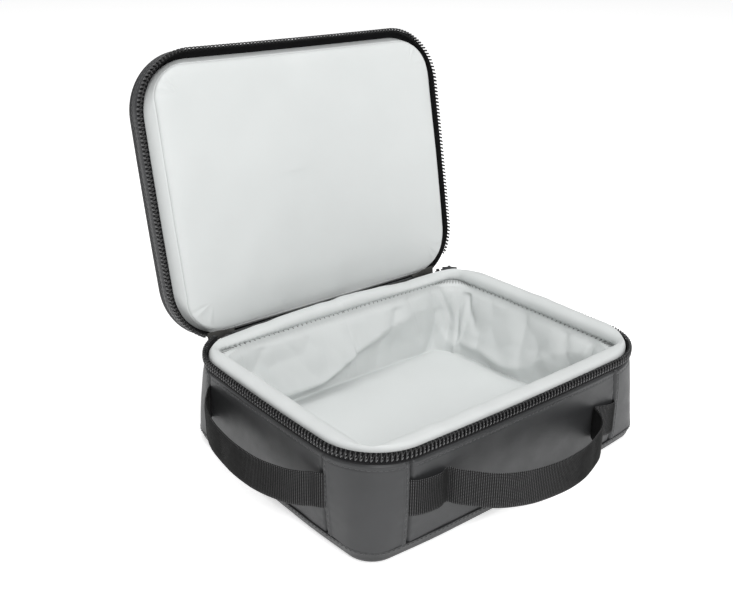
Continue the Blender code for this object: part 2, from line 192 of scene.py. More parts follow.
def waves(seed, u, v, length):
    """Soft irregular waves of about one length, from about -1 to 1."""
    count = 9
    rng = np.random.default_rng(seed)
    total = np.zeros(np.broadcast(u, v).shape)
    for _ in range(count):
        heading = rng.uniform(0, tau)
        size = length * rng.uniform(0.7, 1.6)
        phase = rng.uniform(0, tau)
        total = total + np.sin((u * cos(heading) + v * sin(heading)) * tau / size + phase)
    return total / count ** 0.5 / 1.5


def near(station, place, reach, hold=0.0):
    """1 up to some distance along the outline from a place, falling to 0 at another."""
    away = np.abs(np.mod(station - place + PERIMETER / 2, PERIMETER) - PERIMETER / 2)
    return 1 - ease(away, hold, reach)


def along_side(station, side):
    """1 beside one straight side, falling to 0 over the corners at its ends."""
    leg = STRAIGHT_X if side in (MID_BACK, MID_FRONT) else STRAIGHT_Y
    return near(station, side, leg + 0.9 * CORNER_ARC, leg)


def open_lid(points):
    """Turn points from the closed lid to its open place."""
    out = np.array(points, float)
    dy = out[..., 1] - HINGE_Y
    dz = out[..., 2] - HINGE_Z
    out[..., 1] = HINGE_Y + dy * cos(OPEN_ANGLE) + dz * sin(OPEN_ANGLE)
    out[..., 2] = HINGE_Z - dy * sin(OPEN_ANGLE) + dz * cos(OPEN_ANGLE)
    return out


# -------- meshes

def placed(name, data):
    """A new object in the scene."""
    obj = bpy.data.objects.new(name, data)
    bpy.context.scene.collection.objects.link(obj)
    return obj


def make_mesh(name, points, faces, material, uv=None):
    """Smooth mesh object from points in millimetres, with its faces turned outwards."""
    mesh = bpy.data.meshes.new(name)
    mesh.from_pydata((np.asarray(points, float) * MM).tolist(), [], faces)
    if uv is not None:
        layer = mesh.uv_layers.new(name="cloth")
        index = np.zeros(len(mesh.loops), np.int32)
        mesh.loops.foreach_get("vertex_index", index)
        layer.data.foreach_set("uv", (np.asarray(uv, float)[index] * MM).ravel())
    shape = bmesh.new()
    shape.from_mesh(mesh)
    bmesh.ops.recalc_face_normals(shape, faces=shape.faces)
    shape.to_mesh(mesh)
    shape.free()
    mesh.shade_smooth()
    mesh.materials.append(material)
    return placed(name, mesh)


def settle(obj, body, slot, *nodes):
    """Ride a piece on its body and hide the CAD nodes that it stands for; slot is not used."""
    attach(obj, body)
    if nodes:
        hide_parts(*nodes)


def settle_between(obj, bodies, start, end, slot, *nodes):
    """Bake a piece's place into its mesh and hide the CAD nodes it stands for; bodies, start, end and slot
    are not used.
    """
    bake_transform(obj)
    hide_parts(*nodes)


def grid_faces(rows, columns, wrap_rows, wrap_columns, first=0):
    """Quads of a grid of points, row after row."""
    row = np.arange(rows if wrap_rows else rows - 1)
    column = np.arange(columns if wrap_columns else columns - 1)
    r, c = np.meshgrid(row, column, indexing="ij")
    next_r, next_c = (r + 1) % rows, (c + 1) % columns
    quads = np.stack((r * columns + c, r * columns + next_c,
                      next_r * columns + next_c, next_r * columns + c), axis=-1)
    return (quads.reshape(-1, 4) + first).tolist()


def nested_faces(rows, columns):
    """Faces between closed outlines, one for each column, with the first and last filled in."""
    faces = grid_faces(rows, columns, True, False)
    for column in (0, columns - 1):
        faces.append([row * columns + column for row in range(rows)])
    return faces


def lengths(points):
    """Distance from the first point to each one along a line of points."""
    return np.concatenate(([0], np.cumsum(np.linalg.norm(np.diff(points, axis=0), axis=1))))


def sampled(values, run, places):
    """Values [run, xyz] along a line, read at other places on it."""
    return np.stack([np.interp(places, run, values[:, axis]) for axis in range(3)], axis=-1)


def swept(name, points, material, closed=False):
    """Closed section swept along a run: points[run, section, xyz]."""
    rows, columns = points.shape[:2]
    faces = grid_faces(rows, columns, closed, True)
    if not closed:
        faces.append(list(range(columns)))
        faces.append(list(range((rows - 1) * columns, rows * columns)))
    uv = np.stack(np.meshgrid(lengths(points[:, 0]), lengths(points[0]), indexing="ij"), axis=-1)
    return make_mesh(name, points.reshape(-1, 3), faces, material, uv.reshape(-1, 2))


def ring_points(stations, profile, **shape):
    """points[station, section, xyz] for (inset, height) pairs or a function giving them."""
    sections = [profile(station) if callable(profile) else profile for station in stations]
    sections = np.array(sections, float)
    spread = np.repeat(np.asarray(stations, float)[:, None], sections.shape[1], axis=1)
    x, y, _, _ = outline(spread, sections[..., 0], sections[..., 1], **shape)
    return join(x, y, sections[..., 1])


def smooth(points, count):
    """Points on a smooth curve through an open profile."""
    points = np.asarray(points, float)
    ends = np.vstack((2 * points[0] - points[1], points, 2 * points[-1] - points[-2]))
    t = np.linspace(0, 1, count, endpoint=False)[:, None]
    result = []
    for a, b, c, d in zip(ends, ends[1:], ends[2:], ends[3:]):
        result.append(b + (c - a) / 2 * t + (2 * a - 5 * b + 4 * c - d) / 2 * t ** 2
                      + (3 * b - a - 3 * c + d) / 2 * t ** 3)
    return np.concatenate((*result, points[-1:]))


def cloth_sheet(name, points, inward, thickness, material, uv, lap=False):
    """Closed sheet of cloth from its outer grid [row, column, xyz] and inward directions."""
    inner = points + inward * thickness
    rows, columns = points.shape[:2]
    count = rows * columns
    faces = grid_faces(rows, columns, lap, False) + grid_faces(rows, columns, lap, False, count)
    index = np.arange(count).reshape(rows, columns)
    if lap:
        edges = (index[:, 0], index[:, -1])
    else:
        edges = (np.concatenate((index[0], index[1:, -1], index[-1, -2::-1], index[-2:0:-1, 0])),)
    for here in edges:
        there = np.roll(here, -1)
        faces += np.stack((here, count + here, count + there, there), axis=-1).tolist()
    both = np.concatenate((points.reshape(-1, 3), inner.reshape(-1, 3)))
    flat = np.stack(uv, axis=-1).reshape(-1, 2)
    return make_mesh(name, both, faces, material, np.concatenate((flat, flat)))


ANY_DIRECTION = (0.31, 0.27, 0.91)


def tube(path, radius, sides):
    """points[run, side, xyz] round an open path; radius may vary along it."""
    tangent = unit(np.gradient(path, axis=0))
    guide = np.zeros_like(path)
    guide[0] = np.cross(tangent[0], ANY_DIRECTION)
    for number in range(1, len(path)):
        last = guide[number - 1]
        guide[number] = last - tangent[number] * (last @ tangent[number])
    guide = unit(guide)
    side = np.cross(tangent, guide)
    across, up = circle(sides)
    radius = np.zeros(len(path)) + radius
    around = guide[:, None] * across[None, :, None] + side[:, None] * up[None, :, None]
    return path[:, None] + around * radius[:, None, None]


STITCH, STITCH_GAP, STITCH_RADIUS = 2.3, 0.8, 0.28
GATHER_RADIUS = 0.3
ZIPPER_THREAD_AND_GLINT_RADIUS = 0.24

# Along one stitch: the share of its length, then its radius and lift as shares of the thread's.
STITCH_SHAPE = ((0.0, 0.25, -0.5), (0.12, 0.85, 0.1), (0.5, 1.0, 0.45), (0.88, 0.85, 0.1), (1.0, 0.25, -0.5))


def threads(name, starts, ends, outs, radius, material):
    """One object of short stitches, each a bent thread from a start to an end."""
    along, size, lift = np.array(STITCH_SHAPE).T
    size, lift = size * radius, lift * radius
    sides = 6
    across, up = circle(sides)
    heading = ends - starts
    outs = unit(outs)
    side = unit(np.cross(outs, heading))
    centre = starts[:, None] + heading[:, None] * along[:, None] + outs[:, None] * lift[:, None]
    turn = side[:, None] * across[:, None] + outs[:, None] * up[:, None]
    points = centre[:, :, None] + turn[:, None] * size[:, None, None]
    one = np.array(grid_faces(len(along), sides, False, True))
    first = np.arange(len(starts)) * len(along) * sides
    faces = (one[None] + first[:, None, None]).reshape(-1, 4).tolist()
    for start in first.tolist():
        faces.append(list(range(start, start + sides)))
        faces.append(list(range(start + (len(along) - 1) * sides, start + len(along) * sides)))
    return make_mesh(name, points.reshape(-1, 3), faces, material)


def stitch_rows(name, rows, material):
    """One object of several rows of stitches: each row is (path, outward directions)."""
    found = []
    for path, normals in rows:
        run = lengths(path)
        begin = np.arange(STITCH_GAP / 2, run[-1] - STITCH, STITCH + STITCH_GAP)
        ends = sampled(path, run, begin), sampled(path, run, begin + STITCH)
        found.append((*ends, sampled(normals, run, begin)))
    return threads(name, *np.concatenate(found, axis=1), STITCH_RADIUS, material)


def sewn_line(stations, inset, height, lid, bow):
    """A level line round the outline for a row of stitches, and its outward directions."""
    x, y, nx, ny = outline(stations, inset, height, bow=bow)
    path = join(x, y, height)
    out = join(nx, ny, 0)
    if not lid:
        return path, out
    return open_lid(path), open_lid(path + out) - open_lid(path)


# -------- materials

# The wave texture draws one wave in tau / 20 of a unit at scale 1.
WAVES_PER_SCALE = 20


class Shader:
    """A Principled material with helpers for the nodes that feed it."""

    def __init__(self, name, roughness, metallic=0.0, **sockets):
        self.material = bpy.data.materials.new(name)
        self.material.use_nodes = True
        self.nodes = self.material.node_tree.nodes
        self.links = self.material.node_tree.links
        self.bsdf = self.nodes["Principled BSDF"]
        self.bsdf.inputs["Roughness"].default_value = roughness
        self.bsdf.inputs["Metallic"].default_value = metallic
        for key, value in sockets.items():
            self.bsdf.inputs[key.replace("_", " ").title().replace("Ior", "IOR")].default_value = value
        self.place = self.nodes.new("ShaderNodeTexCoord")

    def node(self, kind, inputs=(), **settings):
        """A new node; an input is a value or a socket to link from."""
        made = self.nodes.new(kind)
        for key, value in settings.items():
            setattr(made, key, value)
        for key, value in dict(inputs).items():
            if hasattr(value, "links"):
                self.links.new(value, made.inputs[key])
            else:
                made.inputs[key].default_value = value
        return made

    def noise(self, scale, detail=3.0):
        made = self.node("ShaderNodeTexNoise", {"Vector": self.place.outputs["Object"],
                                                "Scale": scale, "Detail": detail})
        return made.outputs["Fac"]

    def bands(self, pitch_mm, direction):
        """Stripes across the cloth's own length or width, one for each pitch."""
        made = self.node("ShaderNodeTexWave", {"Vector": self.place.outputs["UV"],
                                               "Scale": tau / WAVES_PER_SCALE / (pitch_mm * MM)})
        made.bands_direction = direction
        return made.outputs["Fac"]

    def maths(self, operation, first, second):
        made = self.node("ShaderNodeMath", {0: first, 1: second}, operation=operation)
        return made.outputs[0]

    def colour(self, factor, low, high):
        """Mix two colours by a factor."""
        made = self.node("ShaderNodeMix", {"Factor": factor, 6: (*low, 1), 7: (*high, 1)},
                         data_type="RGBA")
        self.links.new(made.outputs[2], self.bsdf.inputs["Base Color"])

    def roughness(self, scale, detail, low, high):
        """Vary the roughness over a range with a noise."""
        made = self.node("ShaderNodeMapRange", {"Value": self.noise(scale, detail),
                                                "To Min": low, "To Max": high})
        self.links.new(made.outputs["Result"], self.bsdf.inputs["Roughness"])

    def weave(self, operation, length_mm, width_mm):
        """Stripes both ways, for a woven or knitted face."""
        return self.maths(operation, self.bands(length_mm, "X"), self.bands(width_mm, "Y"))

    def bump(self, height, distance_mm, strength):
        """Add a bump on top of any that is there."""
        made = self.node("ShaderNodeBump", {"Height": height, "Distance": distance_mm * MM,
                                            "Strength": strength})
        old = self.bsdf.inputs["Normal"].links
        if old:
            self.links.new(old[0].from_socket, made.inputs["Normal"])
        self.links.new(made.outputs["Normal"], self.bsdf.inputs["Normal"])


def shell_material(name, shade=1.0):
    """Charcoal coated cloth: a fine grain, a faint weave and soft scuffs; a shade below 1 darkens it as
    painted shade.
    """
    shader = Shader(name, 0.5, specular_ior_level=0.45)
    low, high = shade * np.array(((0.030, 0.031, 0.032), (0.042, 0.043, 0.045)))
    shader.colour(shader.noise(45, 4), low, high)
    shader.roughness(160, 3, 0.40, 0.56)
    shader.bump(shader.weave("MULTIPLY", 0.55, 0.55), 0.035, 0.5)
    shader.bump(shader.noise(2600, 2), 0.05, 0.5)
    shader.bump(shader.noise(60, 3), 0.5, 0.35)
    return shader.material


def lining_material():
    """Silver-grey heat-resistant cloth: fine plain weave with soft creases."""
    shader = Shader("lining_cloth", 0.55, specular_ior_level=0.35, sheen_weight=0.15, sheen_roughness=0.5)
    shader.colour(shader.noise(22, 3), (0.60, 0.62, 0.615), (0.655, 0.675, 0.67))
    shader.roughness(90, 2, 0.48, 0.64)
    shader.bump(shader.weave("ADD", 0.5, 0.5), 0.02, 0.5)
    shader.bump(shader.noise(1500, 2), 0.04, 0.4)
    shader.bump(shader.noise(70, 3), 0.5, 0.25)
    return shader.material


def webbing_material():
    """Black nylon webbing: cross ribs with paired yarns, light stripes painted on the ribs as highlight, and
    a slight sheen.
    """
    shader = Shader("webbing_cloth", 0.7, specular_ior_level=0.25, sheen_weight=0.03, sheen_roughness=0.4)
    ribs = shader.bands(RIB_PITCH, "X")
    yarn = shader.bands(0.9, "Y")
    # Narrow light stripes on the rib crests, broken by the yarn bands: painted highlight along the ribs.
    rib_painted_highlight = shader.maths("MULTIPLY", shader.maths("POWER", ribs, 3), yarn)
    shader.colour(rib_painted_highlight, (0.002, 0.002, 0.002), (0.15, 0.15, 0.154))
    shader.roughness(300, 2, 0.6, 0.85)
    shader.bump(yarn, 0.10, 0.6)
    shader.bump(shader.noise(3000, 2), 0.08, 0.5)
    return shader.material


def tape_material(name, low, high):
    """Knitted zipper tape."""
    shader = Shader(name, 0.85, specular_ior_level=0.2, sheen_weight=0.04)
    knit = shader.weave("MULTIPLY", 0.6, 0.5)
    shader.colour(knit, low, high)
    shader.bump(knit, 0.06, 0.6)
    shader.bump(shader.noise(2500, 2), 0.05, 0.5)
    return shader.material


def coil_material():
    """Black nylon monofilament, glossy, with slight grey wear."""
    shader = Shader("coil_nylon", 0.28, specular_ior_level=0.6)
    shader.colour(shader.noise(900, 2), (0.003, 0.003, 0.0035), (0.011, 0.011, 0.012))
    shader.roughness(400, 2, 0.2, 0.42)
    shader.bump(shader.noise(4000, 1), 0.02, 0.4)
    return shader.material


def thread_material(name, low, high):
    """Twisted sewing thread."""
    shader = Shader(name, 0.6, sheen_weight=0.2)
    twist = shader.noise(5200, 1)
    shader.colour(twist, low, high)
    shader.bump(twist, 0.06, 0.7)
    return shader.material


def foam_material():
    """Grey open-cell padding inside the walls."""
    shader = Shader("foam_cells", 0.95)
    cells = shader.noise(1400, 4)
    shader.colour(cells, (0.26, 0.26, 0.27), (0.38, 0.38, 0.39))
    shader.bump(cells, 0.25, 0.8)
    return shader.material


def metal_material():
    """Black painted die-cast metal, worn at its edges."""
    shader = Shader("slider_paint", 0.35, metallic=0.6)
    edge = shader.node("ShaderNodeNewGeometry").outputs["Pointiness"]
    shader.colour(edge, (0.02, 0.02, 0.022), (0.09, 0.09, 0.095))
    shader.roughness(700, 3, 0.25, 0.5)
    shader.bump(shader.noise(1800, 2), 0.02, 0.5)
    return shader.material


SHELL = shell_material("shell_cloth")
# A copy of the shell cloth darkened to 0.7: painted shade on the rolled edges, the bottom tray, the hinge
# strip and the end stops.
SHELL_PAINTED_SHADE = shell_material("shell_painted_shade_cloth", 0.7)
LINING = lining_material()
WEBBING = webbing_material()
TAPE = tape_material("tape_cloth", (0.004, 0.004, 0.0045), (0.012, 0.012, 0.013))
COIL = coil_material()
FOAM = foam_material()
METAL = metal_material()
TAPE_END = tape_material("tape_end_cloth", (0.035, 0.034, 0.032), (0.10, 0.098, 0.094))
# Light grey, for the thread that sews the coil down and for the painted highlights on the coil's heads.
COIL_THREAD_AND_GLINT = thread_material("coil_thread_and_painted_glint", (0.09, 0.09, 0.092), (0.24, 0.24, 0.245))
GATHER_THREAD = thread_material("gather_thread", (0.10, 0.10, 0.10), (0.22, 0.22, 0.22))
DARK_THREAD = thread_material("dark_thread", (0.03, 0.03, 0.032), (0.09, 0.091, 0.094))


# -------- shell

SEAMS = (
    ("corner_back_left", in_corner(BACK_LEFT, 17.9)),
    ("left_panel", in_corner(BACK_LEFT, 82.6)),
    ("corner_front_left", in_corner(FRONT_LEFT, 4)),
    ("front_panel", in_corner(FRONT_LEFT, 79)),
    ("corner_front_right", in_corner(FRONT_RIGHT, 0) - 1),
    ("right_panel", in_corner(FRONT_RIGHT, 86)),
    ("corner_back_right", in_corner(BACK_RIGHT, 7.4)),
    ("back_panel", in_corner(BACK_RIGHT, 72.1)),
)
SEAM_GAP = 0.15
TURN_IN = 1.5
FINE_EDGE = 5.4
PATCH_HEM = 3.4
PATCH_RAISE = 0.45
STITCH_INSIDE = 1.0
TOP_HEM = 3.2
PUCKER_PITCH = 6.1


def bulge(station, height):
    """How far the padded wall stands out at a place on it."""
    share = np.clip((height - TRAY_TOP) / (WALL_TOP - TRAY_TOP), 0, 1)
    soft = (0.8 + 0.5 * waves(3, station, height, 60)) * np.sin(pi * share)
    return soft + 0.14 * waves(4, station, height, 17)


def build_panels():
    """The wall's eight panels, each turned in at its seams, with hems and topstitching."""
    rows = []
    close = np.array((0, 0.25, 0.6, 1.1, 1.8))
    turned = slice(len(close) - 1, 1 - len(close))
    height = np.concatenate(([TRAY_TOP, 8.2, 8.6, 9.2], np.arange(10.2, 53, 1.15),
                             np.arange(53.4, 57.1, 0.4), [57.4, 57.9, 58.3, WALL_TOP]))
    for number, (name, start) in enumerate(SEAMS):
        end = SEAMS[(number + 1) % len(SEAMS)][1] + (PERIMETER if number + 1 == len(SEAMS) else 0)
        first, last = start + SEAM_GAP, end - SEAM_GAP
        fine = np.arange(2.4, 5, 0.4)
        middle = steps(first + FINE_EDGE, last - FINE_EDGE, 1.3)
        station = np.concatenate((first + close, first + fine, middle,
                                  last - fine[::-1], last - close[::-1]))
        s, z = np.meshgrid(station, height, indexing="ij")
        from_seam = np.minimum(s - first, last - s)
        patch = name.startswith("corner")
        out = bulge(s, z)
        out = out - TURN_IN * (1 - ease(from_seam, 0, TURN_IN))
        out = out - 0.5 * (1 - ease(z, TRAY_TOP, TRAY_TOP + 1.2)) - 0.9 * (1 - ease(WALL_TOP - z, 0, 1.2))
        pucker = hump(from_seam, 0, 5) * np.sin(z * tau / PUCKER_PITCH + 0.7 * waves(8, s, z, 30))
        out = out + 0.14 * pucker - 0.28 * hump(z, WALL_TOP - TOP_HEM, 0.5)
        if patch:
            out = out + PATCH_RAISE * (1 - ease(from_seam, PATCH_HEM + 0.2, PATCH_HEM + 0.9))
            out = out - 0.4 * hump(from_seam, PATCH_HEM - STITCH_INSIDE, 0.5)
        x, y, nx, ny = outline(s, -out, z)
        points = join(x, y, z)
        outward = join(nx, ny, 0)
        panel = cloth_sheet(name + "_cloth", points, -outward, SHELL_CLOTH, SHELL, (s, z))
        settle(panel, "base", "shell", name)
        top = int(np.argmin(abs(height - (WALL_TOP - TOP_HEM))))
        rows.append((points[turned, top], outward[turned, top]))
        if patch:
            for place in (first + PATCH_HEM - STITCH_INSIDE, last - PATCH_HEM + STITCH_INSIDE):
                pick = int(np.argmin(abs(station - place)))
                rows.append((points[pick, 2:-2], outward[pick, 2:-2]))
    settle(stitch_rows("shell_topstitching", rows, DARK_THREAD), "base", "shell")


def build_tray():
    """Bottom tray: a flat underside, a rolled edge and a folded lip, taller at the corners."""
    stitch_height = 7.0
    lap = round_lap(2)
    roll = smooth([(9, 0), (4.6, 0.25), (1.9, 1.6), (0.6, 3.6)], 5)[:-1]
    lip = smooth([(0.6, 3.6), (0.1, 5.2), (-0.35, 6.6), (-0.75, 7.9), (-0.7, 8.4), (0.3, 8.5)], 6)
    inner = [(1.3, 8), (1.4, 5.2), (2.2, 3.4), (4, 1.8), (9, 1.4)]
    section = np.concatenate((roll, lip, inner))

    def at(station):
        corner = max(near(station, in_corner(number, 45), 52) for number in range(4))
        moved = section.copy()
        upper = ease(moved[:, 1], 4, 7.8)
        moved[:, 1] += upper * (0.8 * corner + 0.2 * waves(13, station, 0, 19))
        moved[:, 0] -= 0.15 * waves(12, station, 0, 25) * ease(moved[:, 1], 1, 5)
        moved[:, 0] += corner * (1.5 - 0.8 * upper)
        return moved

    points = ring_points(lap, at)
    faces = nested_faces(*points.shape[:2])
    uv = np.stack(np.meshgrid(lap, lengths(section), indexing="ij"), axis=-1).reshape(-1, 2)
    tray = make_mesh("bottom_tray_cloth", points.reshape(-1, 3), faces, SHELL_PAINTED_SHADE, uv)
    settle(tray, "base", "shell", "bottom_panel")
    pick = int(np.argmin(abs(section[:len(roll) + len(lip), 1] - stitch_height)))
    path = np.concatenate((points[:, pick], points[:1, pick]))
    _, _, nx, ny = outline(np.append(lap, lap[0]), 0, stitch_height)
    settle(stitch_rows("tray_topstitching", [(path, join(nx, ny, 0))], DARK_THREAD), "base", "shell")


# -------- zipper

# A turn of the coil: its points, half its depth, and its lean as a share of half the pitch.
COIL_STEPS, COIL_DEPTH, COIL_LEAN = 12, 0.78, 0.42
# Its filament: sides, radius, how much its bends take off the coil's height, and a tooth's swelling.
FILAMENT_SIDES, FILAMENT, FILAMENT_BEND, TOOTH_SWELL = 7, 0.42, 0.9, 0.2
INTERLOCK = 0.25
TAPE_PAST = 4.0


def sag(station, lid):
    """How far the open base's zipper hangs below its closed height."""
    if lid:
        return np.zeros_like(station)
    return 1.1 * near(station, MID_RIGHT, 165) + 0.6 * near(station, MID_LEFT, 130)


def coil_path(start, turns, foot, head, lid):
    """Centre and radius of the coil's filament: a flattened helix along the outline.

    foot is the height of the side that is sewn to the tape, head that of the teeth.
    """
    phase = np.arange(turns * COIL_STEPS + 1) / COIL_STEPS * tau
    station = start + phase / 2 / pi * COIL_PITCH
    across = np.cos(phase)
    lean = COIL_LEAN * across * COIL_PITCH / 2
    across = np.sign(across) * np.abs(across) ** 0.8
    height = (foot + head) / 2 + (head - foot - FILAMENT_BEND * np.sign(head - foot)) / 2 * across
    height = height - sag(station, lid)
    bow = LID_BOW if lid else WALL_BOW
    x, y, _, _ = outline(station + lean, -COIL_DEPTH * np.sin(phase), height, bow=bow)
    tooth = ease(np.cos(phase), 0.35, 1)
    return join(x, y, height), FILAMENT + TOOTH_SWELL * tooth


def build_zipper():
    """Tape, coil, the threads that sew the coil down and a row of painted highlights on the coil's heads, on
    the base and on the lid.
    """
    for body, away, bow, angle in (("base", -1, WALL_BOW, CHAIN_END), ("lid", 1, LID_BOW, LID_CHAIN_END)):
        lid = body == "lid"
        opened = open_lid if lid else np.asarray
        start = in_corner(BACK_LEFT, CHAIN_END) + (COIL_PITCH / 2 if lid else 0)
        turns = int((in_corner(BACK_RIGHT, 90 - angle) - start) / COIL_PITCH)
        head = PARTING - away * INTERLOCK
        foot = PARTING + away * COIL_HEIGHT
        points = tube(*coil_path(start, turns, foot, head, lid), FILAMENT_SIDES)
        coil = swept("zipper_coil_%s_filament" % body, opened(points), COIL)
        settle(coil, body, "zipper_coil", "zipper_coil_" + body)

        edge = [(4.4, 2.4), (2.2, 2.3)] if lid else [(1.5, 3)]
        edge += [(0.6, 1.9), (0.15, 0.9), (0.45, 0), (1.05, -4.4)]
        section = smooth([(inset, foot + away * beyond) for inset, beyond in edge], 4)
        section = np.concatenate((section, section[::-1] + np.array((0.5, -away * 0.5))))

        def hung(station):
            moved = section - np.array((0, float(sag(station, lid))))
            if lid:
                # Along the lid's front side the dark tape reaches further in: real tape, widened as painted
                # shade for the shadow under the coil there.
                moved[:, 0] += 2.4 * along_side(station, MID_FRONT) * ease(moved[:, 0], 2, 4.4)
            return moved

        tape_end = in_corner(BACK_RIGHT, 90 - CHAIN_END)
        points = ring_points(steps(start - TAPE_PAST, tape_end + TAPE_PAST, 2), hung, bow=bow)
        tape = swept("zipper_tape_%s_knit" % body, opened(points), TAPE)
        settle(tape, body, "zipper_tape", "zipper_tape_" + body)

        low = start + (np.arange(turns) + 0.2) * COIL_PITCH
        rows = []
        # Two rows of short threads: the lower, long slanted row is the thread that sews the coil down; the
        # upper row of short light arcs near the teeth is painted highlight on the coil's heads.
        for lift, rise, lean in ((0.9, 1.3, 1), (3.3, 0.5, 0.8)):
            one, out = sewn_line(low, -0.85, foot - away * lift - sag(low, lid), lid, bow)
            end_height = foot - away * (lift + rise) - sag(low, lid)
            two, _ = sewn_line(low + lean, -0.88, end_height, lid, bow)
            rows.append((one, two, out))
        loops = threads("zipper_thread_and_glint_" + body, *np.concatenate(rows, axis=1),
                        ZIPPER_THREAD_AND_GLINT_RADIUS, COIL_THREAD_AND_GLINT)
        settle(loops, body, "zipper_tape")


# -------- padding

def build_rim():
    """Padded roll of lining round the rim, gathered where it is sewn to the inner wall."""
    across, up = circle(48)
    outer_top = (across < 0) & (up > 0)
    across = np.sign(across) * np.abs(across) ** np.where(outer_top, 0.72, 0.95)
    up = np.sign(up) * np.abs(up) ** np.where(outer_top, 0.72, 0.95)

    def at(station):
        right = along_side(station, MID_RIGHT)
        dip = near(station, PERIMETER - 68, 52) + near(station, in_corner(BACK_LEFT, 10), 60)
        puff = 0.5 * waves(21, station, 0, 34) + 0.28 * waves(22, station, 0, 13)
        half_height = 4.75 + 0.75 * right - 1.45 * dip + 0.35 * puff
        half_width = 6.15 + 0.25 * puff
        inset = 9.0 + 0.2 * waves(23, station, 0, 50) + half_width * across
        height = ROLL_FOOT + half_height * (1 + up)
        inside = ease(inset, 9.5, 13.5)
        gather = np.sin(station * tau / GATHER_PITCH + 1.3 * waves(24, station, 0, 16))
        inset = inset - 1.5 * inside * hump(height, 59, 1.7) * (1 + 0.4 * gather)
        height = height + 0.3 * inside * gather * hump(height, 60.3, 2)
        return join(inset, height)

    roll = swept("rim_roll_cloth", ring_points(round_lap(0.85), at, tight=ROLL_TIGHT), LINING, closed=True)
    settle(roll, "base", "lining", "rim_roll")
    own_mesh(roll)


# Where the slack inner cloth bags out. For each side: the place along it from its middle, the
# height of the fold's ridge, how far it stands in, how slowly it falls away under the ridge,
# and how far its foot lies over the floor.
FOLDS = (
    (MID_BACK, ((0, 32, 11, 6.5, 0.5), (14, 26, 12.5, 5.5, 0.5), (28, 20, 12.5, 5, 0.5),
        (60, 20, 10, 7, 0.5), (78, 25, 6, 10, 1), (97, 34, 2.5, 12, 2.5))),
    (MID_LEFT, ((-64, 33, 3, 10, 1.5), (-30, 21, 5, 7, 0.5), (0, 16, 5.5, 6, 0.5), (36, 25, 4, 9, 0.5),
        (70, 36, 2.5, 10, 2))),
    (MID_FRONT, ((-97, 28, 2.5, 12, 2.5), (-68, 20, 4.5, 7, 0.5), (-38, 15, 5.5, 5, 0.5),
        (0, 22, 4, 8, 0.5), (34, 33, 2.5, 12, 0.5), (64, 22, 4, 8, 0.5), (97, 30, 2.5, 12, 2.5))),
    (MID_RIGHT, ((-60, 46, 1, 9, 1), (-50, 49, 4.5, 22, 2), (-26, 38, 5, 14, 2.5), (-5, 20, 5, 6, 3.5),
        (12, 16.5, 7, 5.5, 4.5), (31, 20, 8, 6, 5), (52, 20, 8.5, 6.5, 5.5), (72, 16, 7, 8, 6),
        (90, 18, 3.5, 10, 3.5), (106, 28, 3, 12, 2))),
    (PERIMETER, ((-76, 46, 3.5, 22, 1.5), (-55, 44, 6.5, 16, 0.5), (-28, 40, 9.5, 9, 0.5),
        (0, 32, 11, 6.5, 0.5))),
)
# Valleys: the place and height of one end and of the other, depth and width.
VALLEYS = (
    (PERIMETER, ((-88, 40, -74, 6, 1.4, 7), (-58, 54, -69, 22, 1.8, 4.5),
        (-44, 50, -30, 28, 1.8, 5.5))),
    (MID_RIGHT, ((4, 57, -1, 26, 1.3, 4), (-34, 54, -46, 30, 1.6, 4.5), (62, 52, 46, 34, 3.4, 5),
        (101, 56, 84, 34, 2.2, 4.5))),
    (MID_BACK, ((70, 52, 82, 36, 1.2, 5),)),
    (MID_LEFT, ((-20, 54, -8, 26, 1.4, 5),)),
    (MID_FRONT, ((20, 55, 30, 30, 1.4, 5),)),
)
WALL_FOOT = 9.0


def fold_depth(station, height):
    """How far the slack inner cloth stands in from the wall at a place."""
    reach = 16
    lap = np.linspace(0, PERIMETER, 1600, endpoint=False)
    table = np.array([(side + fold[0], *fold[1:]) for side, folds in FOLDS for fold in folds])
    table = table[np.argsort(table[:, 0])]
    kernel = hump(np.arange(-reach, reach + 1), 0, 7)
    kernel /= kernel.sum()
    found = []
    for column in range(1, table.shape[1]):
        line = np.interp(lap, table[:, 0], table[:, column])
        line = np.convolve(np.concatenate((line[-reach:], line, line[:reach])), kernel, mode="valid")
        found.append(np.interp(station, lap, line))
    ridge, rise, under, foot = found
    above = np.clip((WALL_TOP - height) / (WALL_TOP - ridge), 0, 1) ** 0.85
    below = hump(np.maximum(ridge - height, 0), 0, under, 1.6)
    depth = rise * np.where(height > ridge, above, below) + foot * (1 - ease(height, WALL_FOOT, 26))
    valleys = [(side, *valley) for side, found in VALLEYS for valley in found]
    for side, s0, z0, s1, z1, deep, wide in valleys:
        run = np.clip((height - z1) / (z0 - z1), -0.4, 1)
        line = side + s1 + (s0 - s1) * run
        ends = ease(height, z1 - 6, z1 + 5) * (1 - ease(height, z0, z0 + 3))
        depth = depth - deep * hump(station, line, wide, 1.2) * ends
    free = np.sin(pi * np.clip((height - WALL_FOOT + 3) / (WALL_TOP - WALL_FOOT + 3), 0, 1)) ** 0.6
    wrinkle = 2.6 * np.abs(waves(31, station, height * 1.2, 60))
    wrinkle = wrinkle + 1.4 * np.abs(waves(32, station, height, 30))
    return depth + free * (wrinkle - 0.8 + 0.25 * waves(33, station, height, 15))


